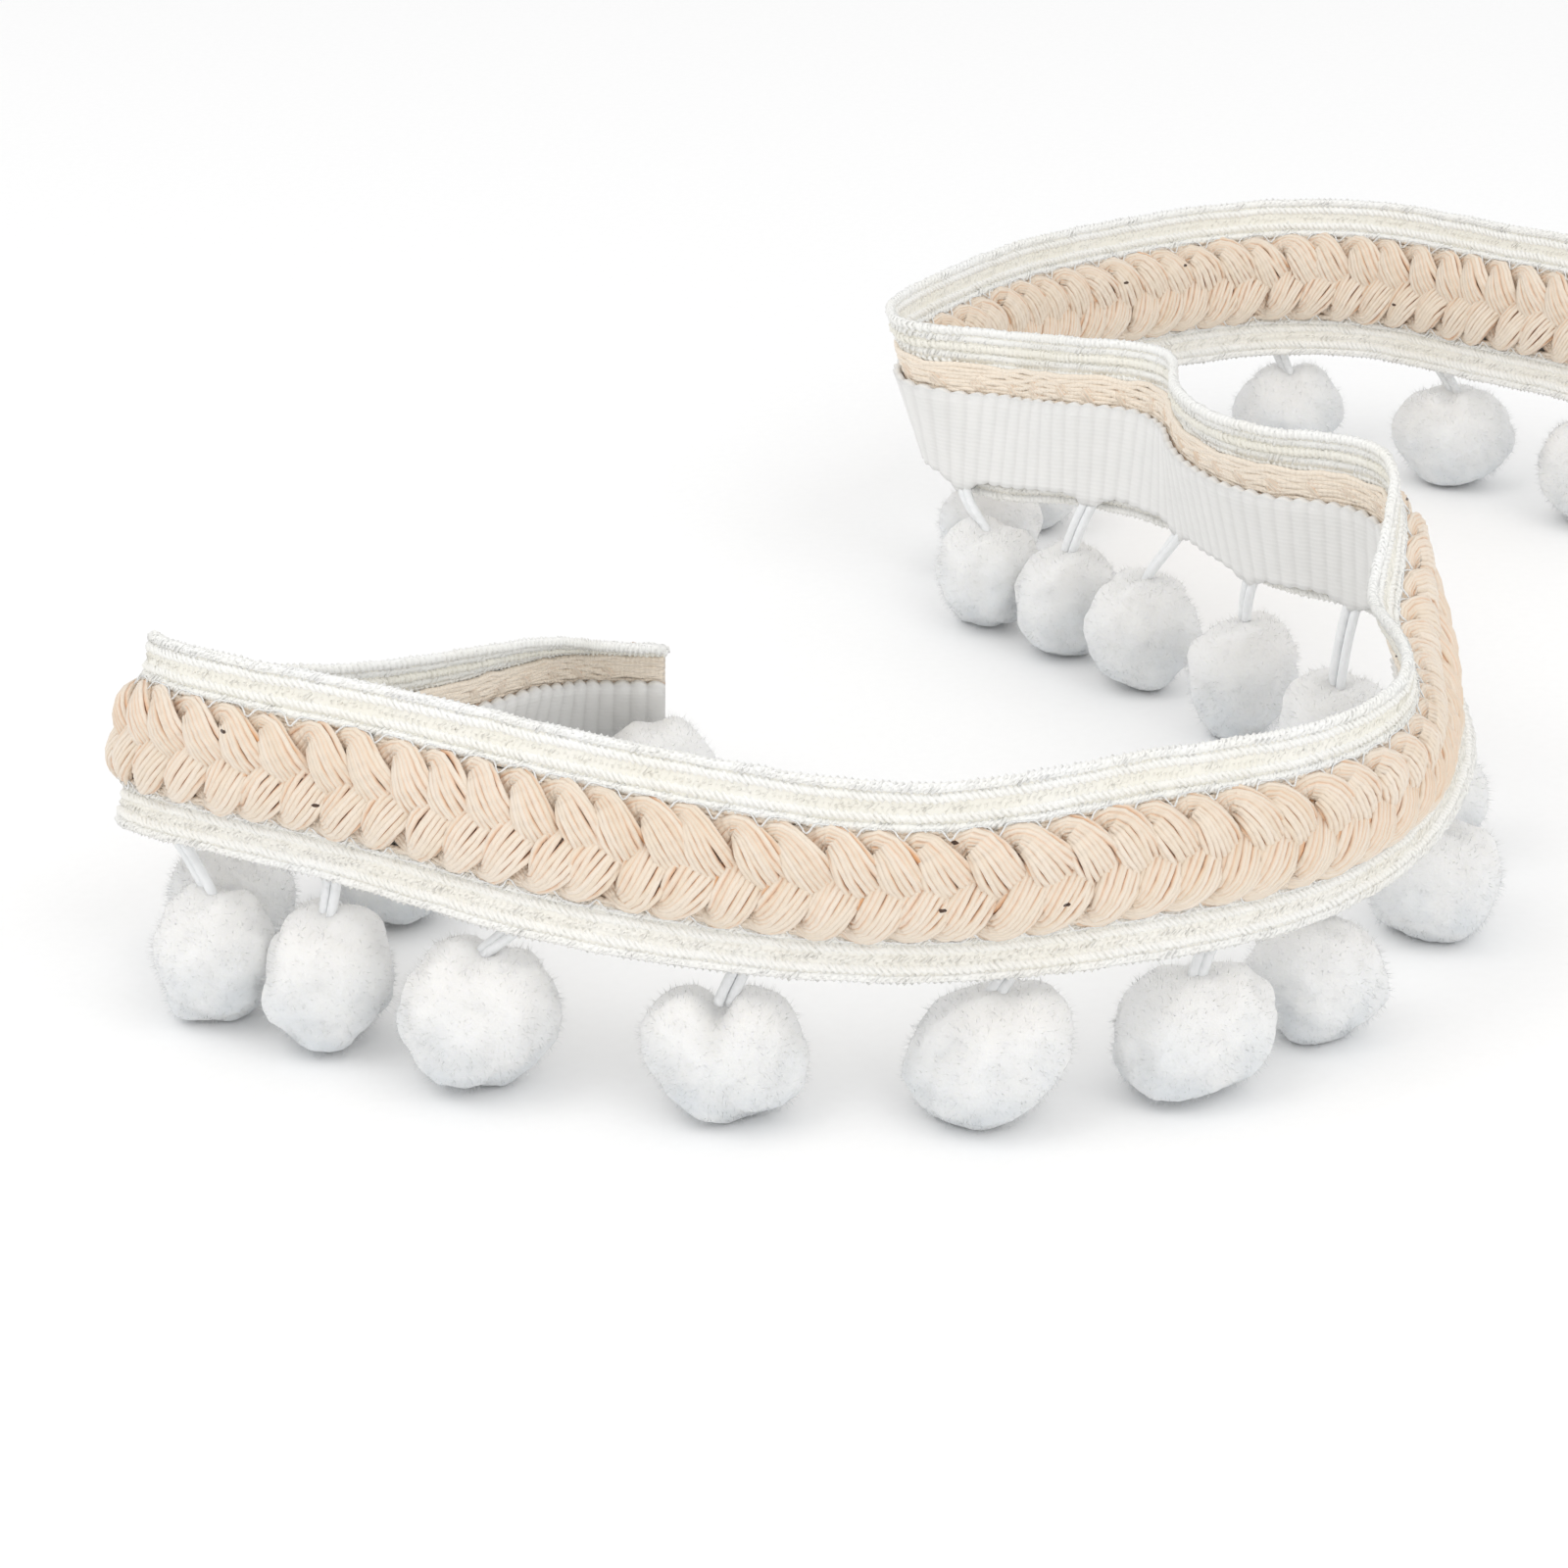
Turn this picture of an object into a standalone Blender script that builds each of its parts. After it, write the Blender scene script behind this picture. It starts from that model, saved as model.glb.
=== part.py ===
"""Pompom fringe trim: a plaited cotton braid between two gimp edges, with pompoms hung from a tape at its back.

The trim stands on its pompoms in the shape of a long S, as cut from the roll. Every strip of the heading is
lofted along the same route, and each pompom hangs from the tape by its own doubled cord.
Lengths are in millimetres until to_metres() turns them into Blender's units. +Z is up.
"""

import math

import bmesh
import bpy
import numpy as np

MM = 0.001

# Driving dimensions of the heading. Rises are measured up its face from the lower edge, the hem.
GIMP_WIDTH = 4.8
GIMP_THICKNESS = 1.3
GIMP_EDGE = 0.8
PLAIT_WIDTH = 10.3
PLAIT_THICKNESS = 3.6
PLAIT_EDGE = 1.5
TAPE_WIDTH = 11.6
TAPE_THICKNESS = 1.0
TAPE_RISE = 1.0
GAP = 0.3
TAPE_GAP = 0.5
SECTION_STEP = 3.4

# Driving dimensions of the pompoms and of the doubled cords that they hang by
CORD_RADIUS = 0.55
CORD_RISE = 2.6
CORD_DROP = 1.0
CORD_POINTS = 3
FLAT_DEPTH = 0.5
POMPOM_SEGMENTS = 9
POMPOM_RINGS = 6

# The middle of the trim in plan, in the coordinates of the table below
PLAN_CENTRE = (21.69, 93.15)

# The hem's route: plan x and y, its height above the table, the heading's lean and the upper gimp's curl.
# Lean and curl are in degrees and are positive towards the tape's side.
ROUTE = [
    # section          x      y      lift  lean  curl
    ("cut end",       -13.0,  75.5,  2.5,  18,  45),
    ("end run",       -24.0,  73.5,  3.5,  19,  40),
    ("end drop",      -35.0,  63.5,  5.0,  20,  15),
    ("end rise",      -47.0,  50.5,  7.5,  18,   0),
    ("left bend in",  -58.0,  42.0, 11.0,  16,   0),
    ("left bend",     -64.5,  33.0, 15.5,  15,   0),
    ("left bend out", -60.5,  25.0, 18.0,   8,   0),
    ("front 1",       -42.6,  16.2, 17.6,   7,   0),
    ("front 2",       -23.6,   6.2, 16.5,  15,   0),
    ("front 3",        -6.0,   3.0, 14.8,   8,   0),
    ("front 4",        14.4,   2.0, 14.3,  -1,   0),
    ("front 5",        34.5,   5.8, 14.6,   8,   0),
    ("front 6",        48.0,  13.5, 14.0,   4,   0),
    ("right bend in",  59.0,  25.0, 14.0,   4,   0),
    ("right bend 1",   66.5,  39.0, 14.0,  22,   0),
    ("right bend 2",   70.0,  52.0, 15.5,  34,   0),
    ("right bend 3",   68.5,  63.0, 18.5,  22,   0),
    ("right bend 4",   64.0,  73.0, 20.5,   8,   0),
    ("middle 1",       55.0,  82.0, 20.0,  12,   0),
    ("middle 2",       47.5,  96.0, 19.0,  14,   0),
    ("crease in",      45.5, 101.0, 19.0,  10,   0),
    ("crease out",     40.5, 108.5, 18.5,  -6,   0),
    ("middle 3",       33.0, 116.0, 17.5,   0,   0),
    ("middle 4",       24.0, 125.0, 15.0,  -6,   0),
    ("far bend in",    19.0, 132.4, 15.0,  14,   0),
    ("far bend",       19.0, 139.2, 15.0,  20,   0),
    ("far bend out",   21.6, 147.8, 14.5,  15,   0),
    ("far 1",          29.0, 161.5, 14.0,   8,   0),
    ("far 2",          45.0, 176.0, 13.0,  10,   0),
    ("far 3",          60.0, 183.0, 13.0,  10,   0),
    ("far 4",          75.0, 180.0, 14.0,  10,   0),
    ("far 5",          88.0, 168.0, 15.0,  10,   0),
    ("far 6",          99.0, 156.5, 16.0,  10,   0),
    ("far end",       106.0, 148.0, 16.0,  10,   0),
]  # fmt: skip

# The pompoms: where the cord is sewn and where the pompom stands, both along the hem, how far it stands
# towards the tape's side, and its size along the hem, across it and upwards.
POMPOMS = [
    # cord   stand   out    wide   deep   tall
    (3.0,     1.5,  10.5,   13.2,  12.4,  13.2),
    (21.5,   25.0,   9.8,   12.8,  12.6,  13.0),
    (41.0,   43.0,   9.6,   13.2,  12.6,  13.0),
    (60.0,   60.0,   7.0,   13.0,  12.6,  13.0),
    (79.0,   84.5,   1.5,   12.0,  13.4,  14.2),
    (98.0,   97.2,   0.6,   12.2,  14.0,  15.0),
    (119.0, 114.0,   0.6,   16.0,  14.6,  15.2),
    (140.5, 138.4,   0.8,   15.4,  14.4,  13.4),
    (166.0, 163.1,   0.6,   14.6,  14.8,  13.8),
    (186.0, 183.5,   0.6,   15.6,  14.0,  12.8),
    (205.0, 200.8,   2.2,   13.2,  13.4,  13.0),
    (226.0, 228.0,   1.6,   14.2,  14.0,  13.2),
    (246.5, 248.0,   1.8,   13.4,  13.6,  13.8),
    (266.0, 267.0,   1.8,   13.4,  13.6,  14.2),
    (280.0, 284.8,  -1.5,   11.4,  12.6,  15.2),
    (296.0, 302.0,   2.0,   12.2,  13.4,  14.8),
    (312.0, 315.2,   0.8,   12.0,  13.6,  14.2),
    (332.0, 327.6,   0.8,   12.0,  13.4,  13.6),
    (350.0, 348.0,  -6.0,   12.6,  12.6,  13.0),
    (370.0, 366.0,  -5.0,   13.4,  13.2,  12.6),
    (391.0, 392.0,   0.6,   14.2,  13.8,  12.0),
    (412.0, 414.0,   0.8,   14.0,  13.8,  12.2),
    (433.5, 437.0,   2.0,   15.0,  14.4,  13.4),
    (455.0, 458.4,   2.6,   14.6,  14.2,  14.4),
]  # fmt: skip

UP = np.array([0.0, 0.0, 1.0])


def natural_spline(knots, values, at):
    """The natural cubic spline through the knots, read at one place or at many."""
    count = len(knots)
    span = np.diff(knots)
    slope = np.diff(values) / span
    system = np.eye(count)
    change = np.zeros(count)
    for i in range(1, count - 1):
        system[i, i - 1 : i + 2] = (span[i - 1], 2 * (span[i - 1] + span[i]), span[i])
        change[i] = 6 * (slope[i] - slope[i - 1])
    bend = np.linalg.solve(system, change)
    piece = np.clip(np.searchsorted(knots, at, side="right") - 1, 0, count - 2)
    run = at - knots[piece]
    start_slope = slope[piece] - span[piece] * (2 * bend[piece] + bend[piece + 1]) / 6
    cubic = (bend[piece + 1] - bend[piece]) / (6 * span[piece])
    return values[piece] + start_slope * run + bend[piece] * run**2 / 2 + cubic * run**3


class Route:
    """The hem's line with the heading's lean and curl, read at any distance along the hem."""

    fine_steps = 4000
    look = 0.5

    def __init__(self, table, centre):
        self.columns = np.array([row[1:] for row in table], float)
        self.columns[:, :2] -= centre
        chords = np.hypot(*np.diff(self.columns[:, :2], axis=0).T)
        self.knots = np.concatenate([[0.0], np.cumsum(chords)])
        self.fine = np.linspace(0, self.knots[-1], self.fine_steps)
        plan = np.stack([self.column(0, self.fine), self.column(1, self.fine)])
        steps = np.hypot(*np.diff(plan, axis=1))
        self.run = np.concatenate([[0.0], np.cumsum(steps)])
        self.length = self.run[-1]

    def column(self, index, knot):
        return natural_spline(self.knots, self.columns[:, index], knot)

    def plan_direction(self, distance):
        ahead = np.interp(distance + self.look, self.run, self.fine)
        behind = np.interp(distance - self.look, self.run, self.fine)
        way = np.array([self.column(i, ahead) - self.column(i, behind) for i in (0, 1)])
        return np.append(way / np.hypot(*way), 0.0)

    def at(self, distance):
        """The hem's point, the way along it, the way to the tape's side, and the lean and curl in radians."""
        knot = np.interp(distance, self.run, self.fine)
        x, y, lift, lean, curl = (self.column(i, knot) for i in range(5))
        along = self.plan_direction(distance)
        aside = np.cross(UP, along)
        return np.array([x, y, lift]), along, aside, math.radians(lean), math.radians(curl)

    def heading_frame(self, distance):
        """The hem's point, the way up the heading's face, the way out of its back, and the curl."""
        hem, _, aside, lean, curl = self.at(distance)
        rise = aside * math.sin(lean) + UP * math.cos(lean)
        rear = aside * math.cos(lean) - UP * math.sin(lean)
        return hem, rise, rear, curl


def to_metres(point):
    return tuple(float(value) * MM for value in point)


def make_material(name, colour, roughness):
    material = bpy.data.materials.new(name)
    material.use_nodes = True
    shader = material.node_tree.nodes["Principled BSDF"]
    shader.inputs["Base Color"].default_value = (*colour, 1.0)
    shader.inputs["Roughness"].default_value = roughness
    shader.inputs["Metallic"].default_value = 0.0
    material.diffuse_color = (*colour, 1.0)
    return material


def add_object(name, data, material, collection):
    data.materials.append(material)
    made = bpy.data.objects.new(name, data)
    collection.objects.link(made)
    return made


def mesh_from(shape, name):
    bmesh.ops.recalc_face_normals(shape, faces=shape.faces)
    mesh = bpy.data.meshes.new(name)
    shape.to_mesh(mesh)
    shape.free()
    return mesh


def loft(name, rings):
    """A closed mesh through rings with the same number of points, with a face over each end."""
    shape = bmesh.new()
    loops = [[shape.verts.new(to_metres(point)) for point in ring] for ring in rings]
    count = len(loops[0])
    for near, far in zip(loops, loops[1:]):
        for i in range(count):
            a, b = near[i], near[(i + 1) % count]
            c, d = far[(i + 1) % count], far[i]
            # Each quad is split from its lower near corner, so that facing strips bend alike.
            halves = ((a, b, c), (a, c, d)) if a.co.z <= b.co.z else ((a, b, d), (b, c, d))
            for half in halves:
                shape.faces.new(half)
    shape.faces.new(loops[0])
    shape.faces.new(loops[-1])
    return mesh_from(shape, name)


# Outlines of the strips, as pairs of proud and rise: proud stands out of the heading's face


def gimp_outline(base):
    """A gimp edge: flat at the back and slightly crowned in front."""
    return [
        (0.0, base),
        (0.0, base + GIMP_WIDTH),
        (GIMP_EDGE, base + GIMP_WIDTH),
        (GIMP_THICKNESS, base + GIMP_WIDTH * 0.75),
        (GIMP_THICKNESS, base + GIMP_WIDTH * 0.25),
        (GIMP_EDGE, base),
    ]


def plait_outline(base):
    """The plait: flat at the back and domed in front."""
    return [
        (0.0, base),
        (0.0, base + PLAIT_WIDTH),
        (PLAIT_EDGE, base + PLAIT_WIDTH),
        (PLAIT_THICKNESS, base + PLAIT_WIDTH * 0.7),
        (PLAIT_THICKNESS, base + PLAIT_WIDTH * 0.3),
        (PLAIT_EDGE, base),
    ]


def tape_outline():
    return [
        (-TAPE_GAP - TAPE_THICKNESS, TAPE_RISE),
        (-TAPE_GAP - TAPE_THICKNESS, TAPE_RISE + TAPE_WIDTH),
        (-TAPE_GAP, TAPE_RISE + TAPE_WIDTH),
        (-TAPE_GAP, TAPE_RISE),
    ]


def strip_rings(route, outline, fold_rise=None):
    """An outline set across the heading at every section. Above fold_rise it curls by the route's curl."""
    count = round(route.length / SECTION_STEP)
    rings = []
    for distance in np.linspace(0, route.length, count + 1):
        hem, rise, rear, curl = route.heading_frame(distance)
        foot = hem
        base = 0.0
        if fold_rise is not None:
            foot = hem + rise * fold_rise
            base = fold_rise
            rise, rear = (
                rise * math.cos(curl) + rear * math.sin(curl),
                rear * math.cos(curl) - rise * math.sin(curl),
            )
        rings.append([foot + rise * (y - base) - rear * x for x, y in outline])
    return rings


def make_heading(route, materials, collection):
    plait_base = GIMP_WIDTH + GAP
    upper_base = plait_base + PLAIT_WIDTH + GAP
    strips = {
        "gimp_lower": ("gimp", strip_rings(route, gimp_outline(0.0))),
        "cotton_plait": ("cotton", strip_rings(route, plait_outline(plait_base))),
        "gimp_upper": ("gimp", strip_rings(route, gimp_outline(upper_base), upper_base)),
        "pompom_tape": ("tape", strip_rings(route, tape_outline())),
    }
    for name, (finish, rings) in strips.items():
        add_object(name, loft(name, rings), materials[finish], collection)


def pompom_place(route, stand, out, tall):
    """The pompom's middle, with its flat spot on the table, and its turn about the upright."""
    hem, along, aside, _, _ = route.at(stand)
    middle = hem + aside * out
    middle[2] = tall / 2 - FLAT_DEPTH
    return middle, math.atan2(along[1], along[0])


def make_pompom(name, middle, turn, size, material, collection):
    shape = bmesh.new()
    bmesh.ops.create_uvsphere(
        shape, u_segments=POMPOM_SEGMENTS, v_segments=POMPOM_RINGS, radius=MM / 2
    )
    bmesh.ops.scale(shape, vec=size, verts=shape.verts)
    bmesh.ops.bisect_plane(
        shape,
        geom=shape.verts[:] + shape.edges[:] + shape.faces[:],
        plane_co=(0, 0, -middle[2] * MM),
        plane_no=(0, 0, -1),
        clear_outer=True,
    )
    bmesh.ops.holes_fill(shape, edges=shape.edges[:])
    pompom = add_object(name, mesh_from(shape, name), material, collection)
    pompom.location = to_metres(middle)
    pompom.rotation_euler.z = turn
    return pompom


def surface_point(middle, turn, size, towards):
    """The point of a pompom's surface on the line from its middle towards another point."""
    way = (towards - middle) / np.linalg.norm(towards - middle)
    c, s = math.cos(turn), math.sin(turn)
    local = np.array([way[0] * c + way[1] * s, way[1] * c - way[0] * s, way[2]])
    radius = 1 / np.linalg.norm(local / (np.array(size) / 2))
    return middle + way * (radius + GAP + CORD_RADIUS / 2)


def make_cord(name, route, cord, middle, turn, size, material, collection):
    """The doubled cord: out of the tape's back, over its lower edge and down to the pompom."""
    hem, rise, rear, _ = route.heading_frame(cord)
    behind = TAPE_GAP + TAPE_THICKNESS + GAP + CORD_RADIUS
    start = hem + rise * CORD_RISE + rear * behind
    edge = start - rise * CORD_DROP + rear * CORD_DROP
    end = surface_point(middle, turn, size, edge)
    curve = bpy.data.curves.new(name, "CURVE")
    curve.dimensions = "3D"
    curve.bevel_depth = CORD_RADIUS * MM
    curve.bevel_resolution = 2
    curve.use_fill_caps = True
    spline = curve.splines.new("POLY")
    spline.points.add(CORD_POINTS - 1)
    for point, t in zip(spline.points, np.linspace(0, 1, CORD_POINTS)):
        place = start * (1 - t) ** 2 + edge * 2 * t * (1 - t) + end * t**2
        point.co = (*to_metres(place), 1.0)
    return add_object(name, curve, material, collection)


def make_pompoms(route, materials, collection):
    for number, (cord, stand, out, *size) in enumerate(POMPOMS, start=1):
        middle, turn = pompom_place(route, stand, out, size[2])
        make_pompom(f"pompom_{number:02}", middle, turn, size, materials["pompom"], collection)
        make_cord(
            f"pompom_cord_{number:02}", route, cord, middle, turn, size, materials["cord"], collection
        )


def main():
    for old in list(bpy.data.objects):
        bpy.data.objects.remove(old)
    collection = bpy.data.collections.new("pompom_fringe_trim")
    bpy.context.scene.collection.children.link(collection)
    materials = {
        "gimp": make_material("ivory rayon gimp", (0.82, 0.79, 0.66), 0.4),
        "cotton": make_material("natural cotton yarn", (0.78, 0.56, 0.38), 0.85),
        "tape": make_material("white cotton tape", (0.85, 0.85, 0.85), 0.8),
        "pompom": make_material("white pompom pile", (0.9, 0.9, 0.91), 0.95),
        "cord": make_material("white cotton cord", (0.85, 0.86, 0.87), 0.8),
    }
    route = Route(ROUTE, PLAN_CENTRE)
    make_heading(route, materials, collection)
    make_pompoms(route, materials, collection)


main()
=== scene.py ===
import math

import bpy
import numpy as np
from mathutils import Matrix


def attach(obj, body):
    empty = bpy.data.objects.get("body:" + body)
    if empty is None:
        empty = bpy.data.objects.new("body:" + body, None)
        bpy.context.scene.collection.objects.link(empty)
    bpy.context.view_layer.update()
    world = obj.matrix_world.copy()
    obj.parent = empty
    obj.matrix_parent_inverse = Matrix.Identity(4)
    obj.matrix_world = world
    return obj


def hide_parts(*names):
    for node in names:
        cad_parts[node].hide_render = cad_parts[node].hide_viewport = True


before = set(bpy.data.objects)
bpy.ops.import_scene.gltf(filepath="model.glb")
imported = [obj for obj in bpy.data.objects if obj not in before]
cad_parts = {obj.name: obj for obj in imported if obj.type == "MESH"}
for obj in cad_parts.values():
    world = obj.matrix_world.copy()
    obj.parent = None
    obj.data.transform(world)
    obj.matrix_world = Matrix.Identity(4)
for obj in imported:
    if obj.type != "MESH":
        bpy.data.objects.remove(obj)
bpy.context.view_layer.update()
bpy.ops.object.select_all(action="DESELECT")
print("loaded", len(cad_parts), "nodes")

mm = 0.001
fullTurn = 2 * math.pi
upright = np.array([0.0, 0.0, 1.0])
threadSpacing = 4.0  # how far apart straight threads lie before they are bent
yarnSpacing = 1.2  # the same for the many yarns of the plait and its backing

# The hem's line, as the frame has it: x, y, height, lean and curl, in millimetres and degrees
trimRoute = [
    (-13.0, 75.5, 2.5, 18, 45), (-24.0, 73.5, 3.5, 19, 40), (-35.0, 63.5, 5.0, 20, 15),
    (-47.0, 50.5, 7.5, 18, 0), (-58.0, 42.0, 11.0, 16, 0), (-64.5, 33.0, 15.5, 15, 0),
    (-60.5, 25.0, 18.0, 8, 0), (-42.6, 16.2, 17.6, 7, 0), (-23.6, 6.2, 16.5, 15, 0),
    (-6.0, 3.0, 14.8, 8, 0), (14.4, 2.0, 14.3, -1, 0), (34.5, 5.8, 14.6, 8, 0),
    (48.0, 13.5, 14.0, 4, 0), (59.0, 25.0, 14.0, 4, 0), (66.5, 39.0, 14.0, 22, 0),
    (70.0, 52.0, 15.5, 34, 0), (68.5, 63.0, 18.5, 22, 0), (64.0, 73.0, 20.5, 8, 0),
    (55.0, 82.0, 20.0, 12, 0), (47.5, 96.0, 19.0, 14, 0), (45.5, 101.0, 19.0, 10, 0),
    (40.5, 108.5, 18.5, -6, 0), (33.0, 116.0, 17.5, 0, 0), (24.0, 125.0, 15.0, -6, 0),
    (19.0, 132.4, 15.0, 14, 0), (19.0, 139.2, 15.0, 20, 0), (21.6, 147.8, 14.5, 15, 0),
    (29.0, 161.5, 14.0, 8, 0), (45.0, 176.0, 13.0, 10, 0), (60.0, 183.0, 13.0, 10, 0),
    (75.0, 180.0, 14.0, 10, 0), (88.0, 168.0, 15.0, 10, 0), (99.0, 156.5, 16.0, 10, 0),
    (106.0, 148.0, 16.0, 10, 0),
]
planCentre = (21.69, 93.15)
curlRise = 15.7  # the upper gimp's lower edge, about which it curls


def naturalSpline(knots, values, at):
    count = len(knots)
    span = np.diff(knots)
    slope = np.diff(values) / span
    system = np.eye(count)
    change = np.zeros(count)
    for i in range(1, count - 1):
        system[i, i - 1 : i + 2] = (span[i - 1], 2 * (span[i - 1] + span[i]), span[i])
        change[i] = 6 * (slope[i] - slope[i - 1])
    bend = np.linalg.solve(system, change)
    piece = np.clip(np.searchsorted(knots, at, side="right") - 1, 0, count - 2)
    run = at - knots[piece]
    startSlope = slope[piece] - span[piece] * (2 * bend[piece] + bend[piece + 1]) / 6
    cubic = (bend[piece + 1] - bend[piece]) / (6 * span[piece])
    return values[piece] + startSlope * run + bend[piece] * run**2 / 2 + cubic * run**3


def traceRoute():
    columns = np.array(trimRoute, float)
    columns[:, :2] -= planCentre
    chords = np.hypot(*np.diff(columns[:, :2], axis=0).T)
    knots = np.concatenate([[0.0], np.cumsum(chords)])
    fine = np.linspace(0, knots[-1], 4000)
    line = [naturalSpline(knots, columns[:, i], fine) for i in range(5)]
    steps = np.hypot(np.diff(line[0]), np.diff(line[1]))
    return np.concatenate([[0.0], np.cumsum(steps)]), line


routeRun, routeLine = traceRoute()
trimLength = routeRun[-1]


def unit(vectors):
    return vectors / np.linalg.norm(vectors, axis=1, keepdims=True)


def trimFrame(distance):
    # the hem's point, the ways along it, up the heading's face and out of its back, and the curl
    held = np.clip(distance, 0, trimLength)
    x, y, lift, lean, curl = (np.interp(held, routeRun, column) for column in routeLine)
    ahead, behind = np.clip(held + 0.5, 0, trimLength), np.clip(held - 0.5, 0, trimLength)
    way = [np.interp(ahead, routeRun, c) - np.interp(behind, routeRun, c) for c in routeLine[:2]]
    along = unit(np.stack([*way, 0 * held], axis=1))
    aside = np.cross(upright, along)
    lean = np.radians(lean)[:, None]
    up = aside * np.sin(lean) + upright * np.cos(lean)
    rear = aside * np.cos(lean) - upright * np.sin(lean)
    hem = np.stack([x, y, lift], axis=1) + along * (distance - held)[:, None]
    return hem, along, up, rear, np.radians(curl)[:, None]


def readPoints(piece):
    points = np.zeros(len(piece.data.vertices) * 3, np.float32)
    piece.data.vertices.foreach_get("co", points)
    return points.reshape(-1, 3).astype(float)


def writePoints(piece, points):
    piece.data.vertices.foreach_set("co", np.ascontiguousarray(points, np.float32).ravel())
    piece.data.update()


def keepAttribute(piece, name, values):
    kind = "FLOAT" if values.ndim == 1 else "FLOAT_VECTOR"
    field = "value" if values.ndim == 1 else "vector"
    made = piece.data.attributes.new(name, kind, "POINT")
    made.data.foreach_set(field, values.astype(np.float32).ravel())


def trimPoint(distance, rise, proud):
    hem, _, up, rear, curl = trimFrame(distance)
    over = np.maximum(rise - curlRise, 0)[:, None]
    curled = over > 0
    upCurled = up * np.cos(curl) + rear * np.sin(curl)
    rearCurled = rear * np.cos(curl) - up * np.sin(curl)
    foot = hem + up * np.minimum(rise, curlRise)[:, None]
    return foot + upCurled * over - np.where(curled, rearCurled, rear) * proud[:, None]


def layAlongTrim(piece):
    # from flat, where x is the distance along the hem, y the rise and z proud of the face, to its place
    flat = readPoints(piece)
    keepAttribute(piece, "trimPlace", flat)
    writePoints(piece, trimPoint(*(flat / mm).T) * mm)


def joined(pieces, name):
    bpy.ops.object.select_all(action="DESELECT")
    for piece in pieces:
        piece.select_set(True)
    bpy.context.view_layer.objects.active = pieces[0]
    bpy.ops.object.join()
    pieces[0].name = name
    return pieces[0]


def applied(piece, kind, **settings):
    modifier = piece.modifiers.new("made", kind)
    for key, value in settings.items():
        setattr(modifier, key, value)
    bpy.context.view_layer.objects.active = piece
    bpy.ops.object.modifier_apply(modifier=modifier.name)


def cutAcross(piece, cuts):
    # cuts every edge that runs along x, which are the longest ones
    points = readPoints(piece)
    ends = np.zeros(len(piece.data.edges) * 2, np.int32)
    piece.data.edges.foreach_get("vertices", ends)
    reach = np.abs(np.diff(points[ends.reshape(-1, 2), 0], axis=1)).ravel()
    bpy.ops.object.mode_set(mode="EDIT")
    bpy.ops.mesh.select_mode(type="EDGE")
    bpy.ops.mesh.select_all(action="DESELECT")
    bpy.ops.object.mode_set(mode="OBJECT")
    piece.data.edges.foreach_set("select", reach > reach.max() / 2)
    bpy.ops.object.mode_set(mode="EDIT")
    bpy.ops.mesh.subdivide(number_cuts=cuts)
    bpy.ops.object.mode_set(mode="OBJECT")


def addThreads(name, length, count, spacing, sides, sections):
    # straight threads lying side by side along x, each cut into short sections so that it can bend
    bpy.ops.object.select_all(action="DESELECT")
    bpy.ops.mesh.primitive_cylinder_add(
        vertices=sides, radius=spacing * mm / 4, depth=length * mm,
        location=(length * mm / 2, 0, 0), rotation=(0, math.pi / 2, 0),
    )
    threads = bpy.context.object
    threads.name = name
    bpy.ops.object.transform_apply(location=True, rotation=True, scale=True)
    most = 60  # more sections than this are cut in two goes
    first = round(math.sqrt(sections)) if sections > most else sections
    cutAcross(threads, first - 1)
    if first < sections:
        cutAcross(threads, math.ceil(sections / first) - 1)
    if count > 1:
        applied(
            threads, "ARRAY", count=count, use_relative_offset=False, use_constant_offset=True,
            constant_offset_displace=(0, spacing * mm, 0),
        )
    return threads


def steady(way):
    # the same way all along every thread
    return lambda run, number: way


def bendThreads(threads, spacing, path, outward, radius):
    # lays each straight thread on its path; outward is a way across the thread that its section keeps to
    points = readPoints(threads) / mm
    number = np.rint(points[:, 1] / spacing)
    turn = np.arctan2(points[:, 2], points[:, 1] - number * spacing)[:, None]
    run = points[:, 0]
    step = 0.02
    way = unit(path(run + step, number) - path(run - step, number))
    side = unit(np.cross(outward(run, number), way))
    out = np.cross(way, side)
    ring = side * np.cos(turn) + out * np.sin(turn)
    writePoints(threads, (path(run, number) + ring * radius) * mm)


def wander(run, number, wavelength, seed):
    # a smooth drift between about -1 and 1, different for each thread: three waves, whose starts the
    # large numbers scatter
    drift = np.zeros(len(run))
    for order in range(3):
        phase = np.modf(np.sin((number + 1) * 12.9898 + (seed + order) * 78.233) * 43758.5453)[0]
        drift += np.sin(fullTurn * (run / (wavelength * 0.71**order) + phase)) / 2
    return drift / 1.2


def linear(hexColour):
    channels = [int(hexColour[i : i + 2], 16) / 255 for i in (1, 3, 5)]
    return [c / 12.92 if c <= 0.04045 else ((c + 0.055) / 1.055) ** 2.4 for c in channels] + [1.0]


def addNode(tree, kind, inputs=None, **settings):
    node = tree.nodes.new(kind)
    for key, value in settings.items():
        setattr(node, key, value)
    for socket, value in (inputs or {}).items():
        if isinstance(value, bpy.types.NodeSocket):
            tree.links.new(value, node.inputs[socket])
        else:
            node.inputs[socket].default_value = value
    return node


def newMaterial(name, **sockets):
    material = bpy.data.materials.new(name)
    material.use_nodes = True
    shader = material.node_tree.nodes["Principled BSDF"]
    for socket, value in sockets.items():
        shader.inputs[socket.replace("_", " ")].default_value = value
    return material, material.node_tree, shader


def finishPiece(piece, material, nodes=()):
    piece.data.materials.clear()
    piece.data.materials.append(material)
    piece.data.polygons.foreach_set("use_smooth", [True] * len(piece.data.polygons))
    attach(piece, "root")
    if nodes:
        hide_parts(*nodes)
    print("made", piece.name, len(piece.data.polygons), "faces")


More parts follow.
